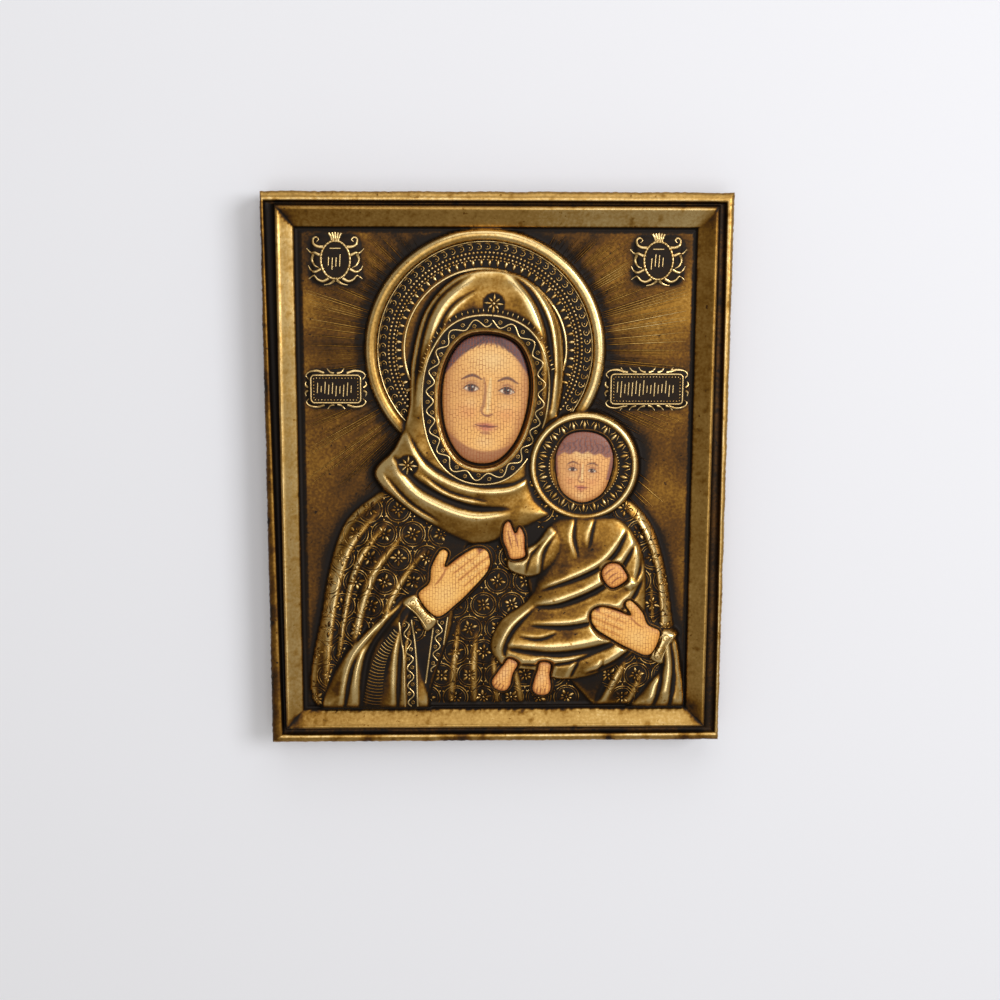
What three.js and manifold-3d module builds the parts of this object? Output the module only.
// Icon panel: a pressed metal cover with a mother-and-child relief, folded over a fibreboard panel.
// A printed card between the two shows its flesh-coloured pads through windows in the cover.
// Millimetres. The panel lies on its back: +X to the viewer's right, +Y to the picture's top, +Z out of it.
import * as THREE from "three";
import { mergeVertices } from "three/addons/utils/BufferGeometryUtils.js";
import Module from "manifold-3d";

const wasm = await Module();
wasm.setup();

// Driving dimensions
const PANEL_WIDTH = 115;
const PANEL_HEIGHT = 139;
const BOARD_THICKNESS = 9;
const BOARD_EDGE_ROUND = 0.6;
const CARD_THICKNESS = 0.6;
const SHEET_DEPTH = 1.0;
const SKIRT_THICKNESS = 0.5;
const SKIRT_FOOT = 4;
const FIT_GAP = 0.3;
const RELIEF = 0.8;
const GRID_STEP = 1.85;

const CARD_FACE = BOARD_THICKNESS + CARD_THICKNESS;
const FIELD_FACE = CARD_FACE + SHEET_DEPTH;
const BURIED = FIELD_FACE - SHEET_DEPTH / 2;
const ABOVE_ALL = FIELD_FACE + 10;

// Border of the cover: distance in from the panel's edge, height over the field
const BORDER_PROFILE = [
  [0, 0.3], [0.6, 1.1], [1.5, 1.1], [2.0, -0.2], [3.3, -0.2], [3.9, 2.2],
  [4.4, 2.8], [5.9, 2.0], [8.2, 0.7], [8.6, -0.3], [9.3, -0.3], [9.8, 0],
];
const BEVEL_FOOT = 8.4;

// Places of the two heads
const HALO = { at: [-3, 31.2], radius: 29.6, plate: 1.0, rim: 2.5, rimWidth: 3.0, segments: 60 };
const CHILD_HALO = { at: [21.5, 2.5], radius: 13.6, plate: 2.9, rim: 3.4, rimWidth: 1.8, segments: 40 };
const HEAD = { at: [-3, 20], turn: -5 };

// Outline helpers

// The mirror image of a path, run the other way
const flipped = (points) => points.map(([x, y]) => [-x, y]).reverse();

// A closed outline from its right half, listed from the top down
const mirrored = (half) => [...half, ...flipped(half).filter(([x]) => Math.abs(x) > 1e-6)];

// Points turned by degrees, scaled and moved to a place
function place(points, { at, turn = 0, size = 1, flip = false }) {
  const angle = THREE.MathUtils.degToRad(turn);
  const origin = new THREE.Vector2();
  return points.map(([x, y]) => {
    const p = new THREE.Vector2(flip ? -x : x, y).multiplyScalar(size);
    p.rotateAround(origin, angle);
    return [p.x + at[0], p.y + at[1]];
  });
}

// A smooth curve through points, as a polyline
function smooth(points, perSpan, closed) {
  const knots = points.map(([x, y]) => new THREE.Vector3(x, y, 0));
  const curve = new THREE.CatmullRomCurve3(knots, closed, "catmullrom", 0.5);
  const spans = closed ? points.length : points.length - 1;
  const line = curve.getPoints(spans * perSpan).map((p) => [p.x, p.y]);
  return closed ? line.slice(0, -1) : line;
}
const smoothLoop = (points, perSpan = 4) => smooth(points, perSpan, true);
const smoothPath = (points, perSpan = 5) => smooth(points, perSpan, false);

// A closed outline moved outwards along its normals
function offset(loop, distance) {
  const turn = Math.sign(THREE.ShapeUtils.area(loop.map(([x, y]) => new THREE.Vector2(x, y))));
  return loop.map(([x, y], i) => {
    const [ax, ay] = loop.at(i - 1);
    const [bx, by] = loop[(i + 1) % loop.length];
    const length = Math.hypot(bx - ax, by - ay);
    const reach = (turn * distance) / length;
    return [x + (by - ay) * reach, y - (bx - ax) * reach];
  });
}

// Distance helpers

// The nearest point on one edge: squared distance, share of the edge, and side
function toEdge(x, y, [ax, ay], [bx, by]) {
  const ex = bx - ax;
  const ey = by - ay;
  const share = THREE.MathUtils.clamp(((x - ax) * ex + (y - ay) * ey) / (ex * ex + ey * ey), 0, 1);
  const dx = x - ax - share * ex;
  const dy = y - ay - share * ey;
  return { square: dx * dx + dy * dy, share, side: Math.sign(ex * dy - ey * dx) || 1 };
}

// Signed distance to a closed outline, positive inside
function depthInside(loop, x, y) {
  let best = Infinity;
  let odd = false;
  loop.forEach((a, i) => {
    const b = loop[(i + 1) % loop.length];
    best = Math.min(best, toEdge(x, y, a, b).square);
    if (a[1] > y !== b[1] > y && x < ((b[0] - a[0]) * (y - a[1])) / (b[1] - a[1]) + a[0]) odd = !odd;
  });
  return odd ? Math.sqrt(best) : -Math.sqrt(best);
}

// Height of a cloth fold at a point: a ridge along a path with a hollow on its left, thinning at both ends
const HOLLOW = 0.6;
const HOLLOW_PLACE = 1.7;
function foldHeight({ line, width, height }, x, y) {
  let near = { square: Infinity };
  let along = 0;
  for (let i = 0; i + 1 < line.length; i++) {
    const edge = toEdge(x, y, line[i], line[i + 1]);
    if (edge.square < near.square) {
      near = edge;
      along = (i + edge.share) / (line.length - 1);
    }
  }
  const side = (Math.sqrt(near.square) * near.side) / width;
  const thin = Math.sin(Math.PI * along) ** 0.7;
  return height * thin * (Math.exp(-(side ** 2)) - HOLLOW * Math.exp(-((side - HOLLOW_PLACE) ** 2)));
}

const fold = (points, width, height) => ({ line: smoothPath(points), width, height });
const ease = (t) => THREE.MathUtils.smoothstep(t, 0, 1);

// Rise of a form from its outline: 0 on the outline, 1 at the shoulder and beyond, and falling away outside
const swell = (t) => (t < 0 ? 2 * t : 1 - (1 - Math.min(t, 1)) ** 2);

// Solid helpers

function solidOf(geometry) {
  const bare = new THREE.BufferGeometry().setAttribute("position", geometry.getAttribute("position"));
  if (geometry.index) bare.setIndex(geometry.index);
  const merged = mergeVertices(bare, 1e-4);
  return new wasm.Manifold(
    new wasm.Mesh({
      numProp: 3,
      vertProperties: merged.getAttribute("position").array,
      triVerts: new Uint32Array(merged.index.array),
    }),
  );
}

function geometryOf(solid) {
  const { vertProperties, triVerts } = solid.getMesh();
  return new THREE.BufferGeometry()
    .setAttribute("position", new THREE.BufferAttribute(vertProperties, 3))
    .setIndex(new THREE.BufferAttribute(triVerts, 1));
}

// An upright prism on a closed outline
function prism(loop, low, high) {
  const shape = new THREE.Shape(loop.map(([x, y]) => new THREE.Vector2(x, y)));
  const geometry = new THREE.ExtrudeGeometry(shape, { depth: high - low, bevelEnabled: false });
  return solidOf(geometry.translate(0, 0, low));
}

// A body turned about an upright axis from a profile of [radius, height]
function turned(profile, { at, segments }) {
  const points = profile.map(([r, z]) => new THREE.Vector2(r, z));
  const geometry = new THREE.LatheGeometry(points, segments).rotateX(Math.PI / 2);
  return solidOf(geometry.translate(at[0], at[1], 0));
}

// A body lofted through level rectangles of [inset from the panel's edge, height]
function lofted(levels) {
  const corners = [[-1, -1], [1, -1], [1, 1], [-1, 1]];
  const positions = levels.flatMap(([inset, z]) =>
    corners.flatMap(([sx, sy]) => [sx * (PANEL_WIDTH / 2 - inset), sy * (PANEL_HEIGHT / 2 - inset), z]),
  );
  const index = [0, 2, 1, 0, 3, 2];
  for (let level = 0; level + 1 < levels.length; level++) {
    for (let k = 0; k < 4; k++) {
      const a = level * 4 + k;
      const b = level * 4 + ((k + 1) % 4);
      index.push(a, b, b + 4, a, b + 4, a + 4);
    }
  }
  const top = (levels.length - 1) * 4;
  index.push(top, top + 1, top + 2, top, top + 2, top + 3);
  const geometry = new THREE.BufferGeometry();
  geometry.setAttribute("position", new THREE.Float32BufferAttribute(positions, 3));
  return solidOf(geometry.setIndex(index));
}

// A block with a flat buried floor whose top follows a height over the field
function reliefBlock(loop, height) {
  const box = new THREE.Box2().setFromPoints(loop.map(([x, y]) => new THREE.Vector2(x, y)));
  const low = box.min.subScalar(GRID_STEP);
  const columns = Math.ceil((box.max.x + GRID_STEP - low.x) / GRID_STEP);
  const rows = Math.ceil((box.max.y + GRID_STEP - low.y) / GRID_STEP);
  const tops = [];
  const floors = [];
  for (let row = 0; row <= rows; row++) {
    for (let column = 0; column <= columns; column++) {
      const x = low.x + column * GRID_STEP;
      const y = low.y + row * GRID_STEP;
      tops.push(x, y, FIELD_FACE + Math.max(0.05, RELIEF * height(x, y)));
      floors.push(x, y, BURIED);
    }
  }
  const across = columns + 1;
  const under = tops.length / 3;
  const index = [];
  for (let row = 0; row < rows; row++) {
    for (let column = 0; column < columns; column++) {
      const a = row * across + column;
      const [b, c, d] = [a + 1, a + across + 1, a + across];
      index.push(a, b, c, a, c, d, a + under, c + under, b + under, a + under, d + under, c + under);
    }
  }
  const rim = [];
  for (let column = 0; column < columns; column++) rim.push(column);
  for (let row = 0; row < rows; row++) rim.push(row * across + columns);
  for (let column = columns; column > 0; column--) rim.push(rows * across + column);
  for (let row = rows; row > 0; row--) rim.push(row * across);
  rim.forEach((a, i) => {
    const b = rim[(i + 1) % rim.length];
    index.push(a + under, b + under, b, a + under, b, a);
  });
  const geometry = new THREE.BufferGeometry();
  geometry.setAttribute("position", new THREE.Float32BufferAttribute([...tops, ...floors], 3));
  return solidOf(geometry.setIndex(index));
}

// A form of the relief, such as a garment: its outline, cut from a block that swells up from it and folds
function form({ outline, level, rise, shoulder, folds = [], settle = 1.6, hollow = () => 0 }) {
  const loop = smoothLoop(outline);
  const height = (x, y) => {
    const depth = depthInside(loop, x, y);
    const share = ease(depth / settle);
    const cloth = share > 0 ? folds.reduce((sum, f) => sum + foldHeight(f, x, y), 0) * share : 0;
    return level + rise * swell(depth / shoulder) + cloth - hollow(x, y);
  };
  return reliefBlock(loop, height).intersect(prism(loop, BURIED - 1, ABOVE_ALL));
}

// Flesh pads: the outlines that the card shows through the cover, with each pad's height over the field
const onHead = (points) => place(points, HEAD);
const HAND = [
  [-3.4, 0], [-4.2, 4.2], [-6.9, 7.2], [-8.6, 11.6], [-6.9, 12.6], [-4.7, 9.8], [-4.5, 14],
  [-3.6, 18.4], [-1.6, 20.2], [0.8, 19.6], [2.8, 17.2], [3.8, 12], [4.3, 6], [3.6, 0],
];
const BLESSING_HAND = [
  [-1.7, 0], [-2.4, 2.6], [-2.9, 5.4], [-2.1, 8.8], [-0.5, 9.6],
  [0.4, 6.4], [1.7, 7.8], [2.6, 5.6], [2.2, 2.4], [1.7, 0],
];
const CLOSED_HAND = [[-2.2, 0], [-3, 2.6], [-2, 5.2], [0.6, 5.8], [2.6, 4.2], [2.7, 1.4], [1.8, -0.4]];
const FOOT = [
  [-1.5, 0], [-1.9, 3.4], [-2.9, 6.8], [-2.2, 9], [0.4, 9.6], [2.2, 8.4], [2.3, 5.6], [1.9, 2.6], [1.5, 0],
];
const MOTHER_FACE = onHead(
  mirrored([[0, 15], [6.4, 13.2], [10, 6.8], [10.6, -1.5], [8.8, -9.8], [4.9, -15.4], [0, -17]]),
);
const CHILD_HEAD = place(
  mirrored([[0, 8.8], [4.7, 7.5], [7.1, 3.2], [6.8, -2.2], [4.8, -6.9], [0, -9.2]]),
  { at: CHILD_HALO.at, turn: -4 },
);
const PADS = [
  { outline: MOTHER_FACE, level: 1.8 },
  { outline: CHILD_HEAD, level: 3.0 },
  { outline: place(HAND, { at: [-17.6, -33], turn: -50, size: 1.02 }), level: 3.4 },
  { outline: place(HAND, { at: [40.2, -43], turn: 66, size: 0.9, flip: true }), level: 3.6 },
  { outline: place(BLESSING_HAND, { at: [5.2, -20.6], turn: 10 }), level: 3.8 },
  { outline: place(CLOSED_HAND, { at: [31, -27], turn: 38 }), level: 4.2 },
  { outline: place(FOOT, { at: [12.4, -48.2], turn: 170, size: 0.9 }), level: 2.6 },
  { outline: place(FOOT, { at: [4.2, -47.6], turn: 150, size: 0.9 }), level: 2.6 },
];
const PAD_CROWN = 0.4;
const WINDOW_MARGIN = 0.2;

// The mother's veil, mantle and sleeves
const HOOD = {
  outline: onHead(
    mirrored([
      [0, 30.8], [9.4, 28.2], [16.2, 19.6], [18.6, 7], [18.4, -5],
      [21, -14.5], [25.5, -22], [17, -30], [7, -35.5], [0, -37.5],
    ]),
  ),
  level: 1.9,
  rise: 2.3,
  shoulder: 7,
  folds: [
    [[[2.5, 30.2], [9.2, 22.5], [13.4, 11], [14.8, -5]], 1.5, 1.2],
    [[[9, 27.6], [14.2, 20], [16.6, 8], [17.4, -8]], 1.1, 0.5],
    [flipped([[5, 29.2], [12.6, 20.8], [15.4, 9], [16.4, -6]]), 1.4, 0.8],
    [[[-19.8, -9.5], [-13.5, -18.6], [-3, -23.2], [8, -22.6], [15, -18]], 1.0, 0.7],
    [[[-23.2, -16.5], [-15, -25.4], [-2, -30], [9, -28.6]], 1.7, 1.1],
    [[[-24.6, -21], [-17.5, -28.6], [-8.5, -33]], 1.0, 0.5],
  ].map(([points, width, height]) => fold(onHead(points), width, height)),
};

const TUNIC = smoothLoop([
  [-5, -14], [-9.5, -22], [-12, -38], [-15.5, -63], [24, -63], [16, -48], [9, -30], [6, -16],
]);
const TUNIC_SINK = 0.9;
const TUNIC_FOLDS = [0, 1, 2, 3, 4].map((k) =>
  fold([[-9.5 + 4.4 * k, -36 - 3.2 * k], [-11 + 5.2 * k, -50], [-12 + 6.6 * k, -66]], 1.2, 0.6),
);
function tunicHollow(x, y) {
  const share = ease(depthInside(TUNIC, x, y));
  return share > 0 ? share * (TUNIC_SINK - TUNIC_FOLDS.reduce((sum, f) => sum + foldHeight(f, x, y), 0)) : 0;
}
const MANTLE = {
  outline: [
    [-20, 6], [-28, -3], [-38.5, -13], [-44, -34], [-45.8, -60], [-20, -63], [20, -63],
    [45.8, -60], [44.6, -36], [39.5, -14], [29, -3], [14, 6], [-3, 10],
  ],
  level: 0.5,
  rise: 2.4,
  shoulder: 16,
  settle: 2,
  hollow: tunicHollow,
  folds: [
    fold([[-29, -8], [-38, -20], [-42.5, -40], [-43.5, -66]], 1.7, 0.8),
    fold([[-27, -11], [-35.5, -23], [-39.5, -40], [-41, -56]], 1.6, 0.8),
    fold([[-23, -14], [-31, -25], [-35.5, -40], [-36, -50]], 1.5, 0.8),
    fold([[-17.5, -18], [-24.5, -27.5], [-29, -38], [-30, -46]], 1.4, 0.7),
    fold([[-12, -21], [-17, -28], [-20, -36]], 1.2, 0.6),
    fold(flipped([[-35, -9], [-40.4, -20], [-42.4, -34], [-42.6, -50]]), 1.5, 0.8),
    fold(flipped([[-33, -47], [-30, -53], [-25, -64]]), 1.4, 0.7),
    fold(flipped([[-37, -50], [-35, -56], [-31, -64]]), 1.3, 0.6),
  ],
};
const LEFT_SLEEVE = {
  outline: [
    [-16, -29.6], [-20.6, -35.2], [-19.6, -46], [-19, -63], [-43, -63], [-40, -47], [-31, -37], [-21.4, -29],
  ],
  level: 2.2,
  rise: 2.0,
  shoulder: 7,
  folds: [
    fold([[-19.6, -31], [-23.2, -45], [-22.8, -66]], 1.0, 0.7),
    fold([[-21, -31.5], [-25.6, -44], [-26.4, -66]], 1.1, 0.8),
    fold([[-24, -31], [-34.4, -44.5], [-36.4, -66]], 1.6, 1.1),
    fold([[-29.5, -36.2], [-37.4, -47], [-40.4, -64]], 1.1, 0.7),
  ],
};
const RIGHT_SLEEVE = {
  outline: [[39, -40], [42, -48.6], [38, -54], [34, -63], [47, -63], [46.5, -48], [44.5, -40.5]],
  level: 2.2,
  rise: 2.0,
  shoulder: 7,
  folds: [
    fold([[43, -41], [43.5, -52], [42, -66]], 1.2, 0.7),
    fold([[41, -44], [40, -54], [37, -66]], 1.1, 0.6),
  ],
};
const CUFF = [[-4.6, -3.8], [-4.3, 0.2], [0, 0.9], [4.4, 0.2], [4.8, -3.8], [0, -3.2]];
const CUFFS = [
  { at: [-18, -33.4], turn: -50, size: 1 },
  { at: [40.7, -43.3], turn: 66, size: 0.88 },
].map((spot) => ({ outline: place(CUFF, spot), level: 2.9, rise: 1.3, shoulder: 2 }));

// The child's robe, raised sleeve and scroll
const ROBE = {
  outline: [
    [16, -10.2], [11.6, -14.2], [10.2, -22.5], [8.2, -31], [1, -37], [-1.6, -44], [2, -49], [9, -50],
    [17, -52.5], [27, -50.5], [36, -44], [37.6, -31], [36.4, -19], [32, -12], [27, -10.2],
  ],
  level: 2.4,
  rise: 2.0,
  shoulder: 8,
  folds: [
    fold([[32.5, -12.5], [25.5, -21.5], [10.6, -28.4]], 1.1, 0.8),
    fold([[34.6, -15.5], [27.5, -25.2], [17, -30.6], [9.2, -32.4]], 1.3, 1.0),
    fold([[36.8, -24.5], [31, -32.4], [20, -36.6], [8, -37.2]], 1.2, 0.8),
    fold([[37.4, -33], [29, -40.2], [16, -43.2], [1.5, -42.6]], 1.8, 1.1),
    fold([[27, -43.6], [18, -46.6], [8, -47.4], [1, -46.6]], 1.0, 0.6),
    fold([[36, -40.5], [30, -46], [22, -50.2]], 1.2, 0.8),
    fold([[9.4, -32.6], [3.2, -38.4], [0.6, -44.6], [2.8, -49]], 1.0, 0.6),
    fold([[33.2, -13.5], [35.2, -20], [34.2, -27]], 1.0, 0.6),
  ],
};
const CHILD_SLEEVE = {
  outline: [
    [13.5, -12.5], [9.5, -16.8], [3.6, -19.4], [3, -23.6], [8.8, -25.4], [14.8, -22.4], [17.5, -16.5],
  ],
  level: 3.0,
  rise: 1.6,
  shoulder: 3.5,
  settle: 1,
  folds: [
    fold([[14.5, -13.5], [10.8, -18.5], [10.2, -26]], 0.8, 0.4),
    fold([[12.5, -14.5], [7.4, -19.4], [6.2, -26]], 0.8, 0.4),
  ],
};
const SCROLL = {
  outline: place(
    [[-1.7, -6.2], [-1.9, 0], [-1.7, 6.2], [0, 6.7], [1.7, 6.2], [1.9, 0], [1.7, -6.2], [0, -6.7]],
    { at: [29.4, -24.2], turn: 52 },
  ),
  level: 3.6,
  rise: 1.5,
  shoulder: 1.9,
};

// A halo: a flat plate with a round rim
function halo({ at, radius, plate, rim, rimWidth, segments }) {
  const height = (h) => FIELD_FACE + RELIEF * h;
  const rimSteps = 4;
  const profile = [[0, BURIED], [radius, BURIED], [radius, height(plate * 0.5)]];
  for (let i = 1; i < rimSteps; i++) {
    const share = i / rimSteps;
    profile.push([radius - share * rimWidth, height(plate + (rim - plate) * Math.sin(Math.PI * share))]);
  }
  profile.push([radius - rimWidth, height(plate)], [0, height(plate)]);
  return turned(profile, { at, segments });
}

// Small raised tablets on the field: two lobed ovals in the top corners and two notched plates
const TABLET_HEIGHT = 0.9;
function lobedOval({ at, halfWidth, halfHeight }) {
  const steps = 32;
  const lobes = 4;
  const bulge = 0.16;
  return Array.from({ length: steps }, (_, i) => {
    const angle = (2 * Math.PI * i) / steps;
    const reach = 1 - bulge * Math.cos(lobes * angle);
    return [at[0] + halfWidth * reach * Math.cos(angle), at[1] + halfHeight * reach * Math.sin(angle)];
  });
}
function notchedPlate({ at, halfWidth, halfHeight }) {
  const notch = 1.4;
  const outline = mirrored([
    [0, halfHeight], [halfWidth - notch, halfHeight], [halfWidth, halfHeight - notch],
    [halfWidth, notch - halfHeight], [halfWidth - notch, -halfHeight], [0, -halfHeight],
  ]);
  return place(outline, { at });
}
const TABLETS = [
  lobedOval({ at: [-39, 52.6], halfWidth: 5.5, halfHeight: 5.3 }),
  lobedOval({ at: [39, 52.6], halfWidth: 5.5, halfHeight: 5.3 }),
  notchedPlate({ at: [-39.8, 21.6], halfWidth: 7.0, halfHeight: 4.3 }),
  notchedPlate({ at: [37.0, 21.6], halfWidth: 9.8, halfHeight: 4.6 }),
];

// The pressed cover: a shallow tray folded over the board, the relief on it, and windows for the pads
function pressedCover() {
  const tray = lofted([
    [SKIRT_THICKNESS, CARD_FACE],
    [SKIRT_THICKNESS, SKIRT_FOOT],
    [0, SKIRT_FOOT],
    ...BORDER_PROFILE.map(([inset, height]) => [inset, FIELD_FACE + height]),
  ]);
  const motherHalo = halo(HALO);
  const childHalo = halo(CHILD_HALO);
  const reach = CHILD_HALO.radius + FIT_GAP;
  const haloClearance = turned(
    [[0, BURIED - 1], [reach, BURIED - 1], [reach, ABOVE_ALL + 1], [0, ABOVE_ALL + 1]],
    CHILD_HALO,
  );
  const garments = [MANTLE, ROBE, CHILD_SLEEVE, LEFT_SLEEVE, RIGHT_SLEEVE, SCROLL, ...CUFFS];
  const figure = [...garments.map(form), childHalo, form(HOOD).subtract(haloClearance)];
  const insideBorder = lofted([[BEVEL_FOOT, BURIED - 1], [BEVEL_FOOT, ABOVE_ALL + 1]]);
  const relief = figure.reduce((sum, piece) => sum.add(piece), motherHalo).intersect(insideBorder);
  const tablets = TABLETS.map((loop) => prism(loop, BURIED, FIELD_FACE + TABLET_HEIGHT));
  const whole = tablets.reduce((sum, tablet) => sum.add(tablet), tray.add(relief));
  const windows = PADS.map(({ outline }) => {
    const loop = offset(smoothLoop(outline, 2), WINDOW_MARGIN);
    return prism(loop, CARD_FACE - 1, ABOVE_ALL);
  });
  return windows.reduce((sum, window) => sum.subtract(window), whole);
}

// The printed card: a thin sheet on the board with a raised pad under each window
function printedCard() {
  const inset = SKIRT_THICKNESS + FIT_GAP;
  const sheet = lofted([[inset, BOARD_THICKNESS], [inset, CARD_FACE]]);
  const pads = PADS.map(({ outline, level }) => {
    const loop = offset(smoothLoop(outline, 2), WINDOW_MARGIN - FIT_GAP);
    return prism(loop, BOARD_THICKNESS, FIELD_FACE + RELIEF * (level + PAD_CROWN));
  });
  return pads.reduce((sum, pad) => sum.add(pad), sheet);
}

// The fibreboard panel, with eased edges
function backingBoard() {
  const inset = SKIRT_THICKNESS + FIT_GAP;
  return lofted([
    [inset + BOARD_EDGE_ROUND, 0],
    [inset, BOARD_EDGE_ROUND],
    [inset, BOARD_THICKNESS],
  ]);
}

const board = new THREE.Mesh(
  geometryOf(backingBoard()),
  new THREE.MeshStandardMaterial({ color: "#6b5232", roughness: 0.85, metalness: 0 }),
);
board.name = "backing_board";

const card = new THREE.Mesh(
  geometryOf(printedCard()),
  new THREE.MeshStandardMaterial({ color: "#e0a569", roughness: 0.7, metalness: 0 }),
);
card.name = "printed_card";

const cover = new THREE.Mesh(
  geometryOf(pressedCover()),
  new THREE.MeshStandardMaterial({ color: "#a27f3a", roughness: 0.38, metalness: 1 }),
);
cover.name = "pressed_cover";

const iconPanel = new THREE.Group();
iconPanel.name = "icon_panel";
iconPanel.add(board, card, cover);

export default iconPanel;
